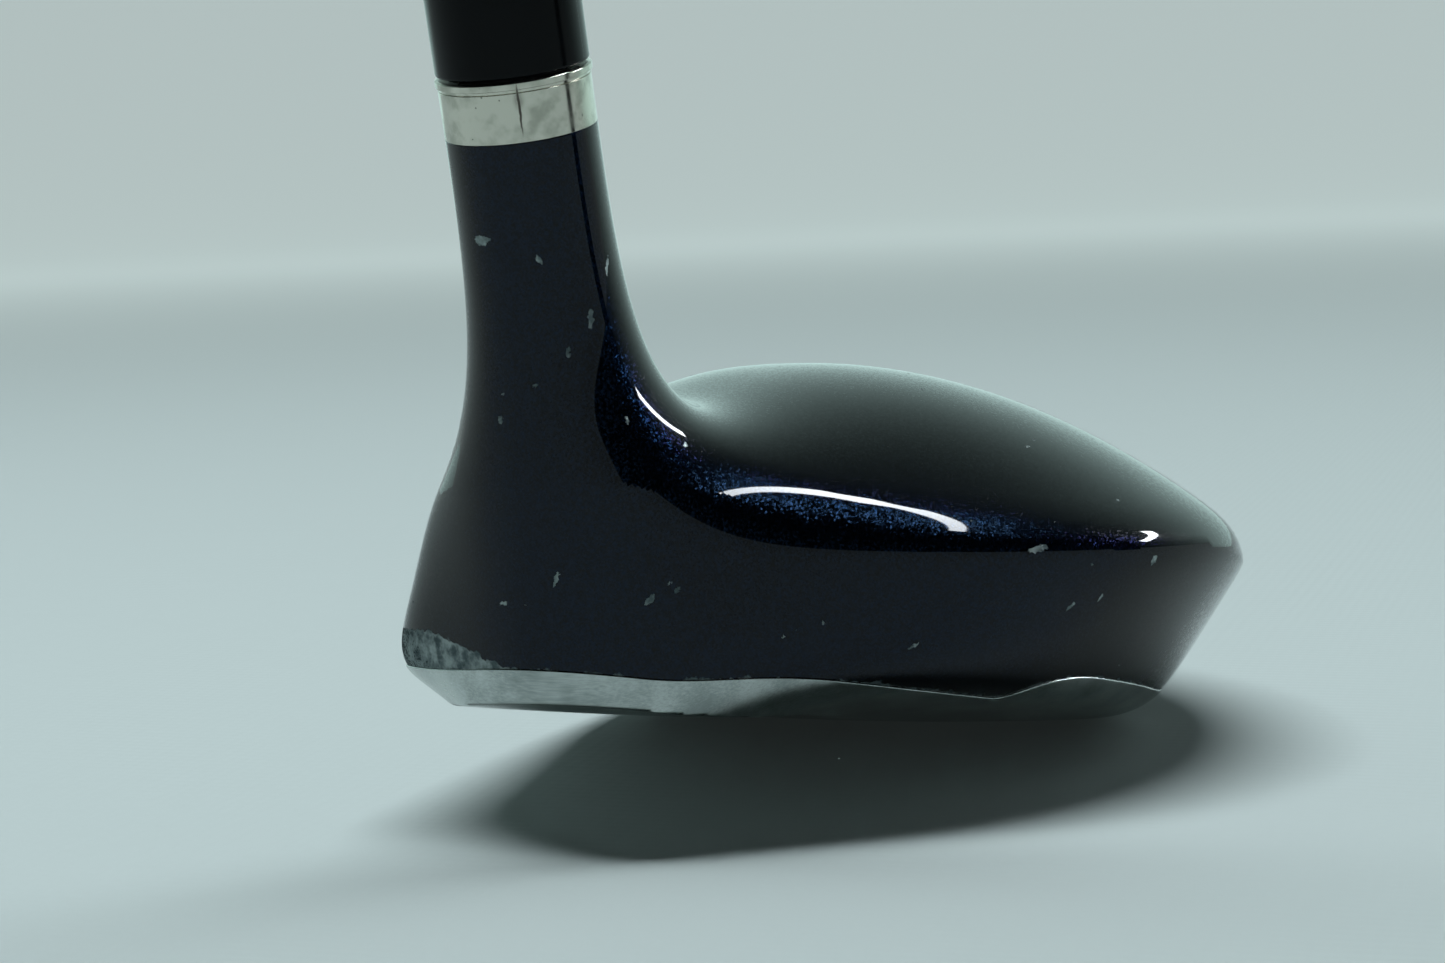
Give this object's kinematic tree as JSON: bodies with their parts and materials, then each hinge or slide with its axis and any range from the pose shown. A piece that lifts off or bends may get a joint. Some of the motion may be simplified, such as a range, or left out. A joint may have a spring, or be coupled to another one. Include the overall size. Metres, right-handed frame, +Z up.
{
  "type": "hybrid golf club",
  "caption": "Hybrid golf club with a navy painted steel head, bare steel sole, polished collar, black ferrule, graphite shaft and rubber grip.",
  "frame": {"origin": "on the shaft's axis, 105 mm below the end of the grip, where the upper hand holds the club", "axes": "+Z up as the club stands with its toe end down on the ground; +Y from the heel towards the toe; +X from the face towards the back of the head"},
  "size_m": [0.0742, 0.3235, 1.0127],
  "materials": {
    "painted_steel": "navy metallic paint under gloss lacquer, chipped",
    "face_steel": "blasted stainless steel, satin",
    "sole_steel": "bare stainless steel, polished and scuffed in use",
    "ballast_steel": "as cast",
    "hot_melt_glue": "tacky hot-melt glue",
    "polished_collar": "polished bare steel with faint stains",
    "gloss_ferrule": "buffed black plastic",
    "graphite_shaft": "lacquered carbon fibre",
    "brass_pin": "turned brass",
    "paper_tape": "double-sided paper tape",
    "grip_rubber": "moulded rubber with a fine tread",
    "cap_rubber": "harder moulded rubber, smooth"
  },
  "bodies": {
    "root": {"head_body": "painted_steel", "crown_plate": "painted_steel", "face_plate": "face_steel", "sole_plate": "sole_steel", "rear_weight": "ballast_steel", "damping_glue_pad": "hot_melt_glue", "hosel_collar": "polished_collar", "ferrule": "gloss_ferrule", "shaft": "graphite_shaft", "shaft_tip_weight": "brass_pin", "grip_tape": "paper_tape", "grip_sleeve": "grip_rubber", "grip_end_cap": "cap_rubber"}
  },
  "joints": []
}
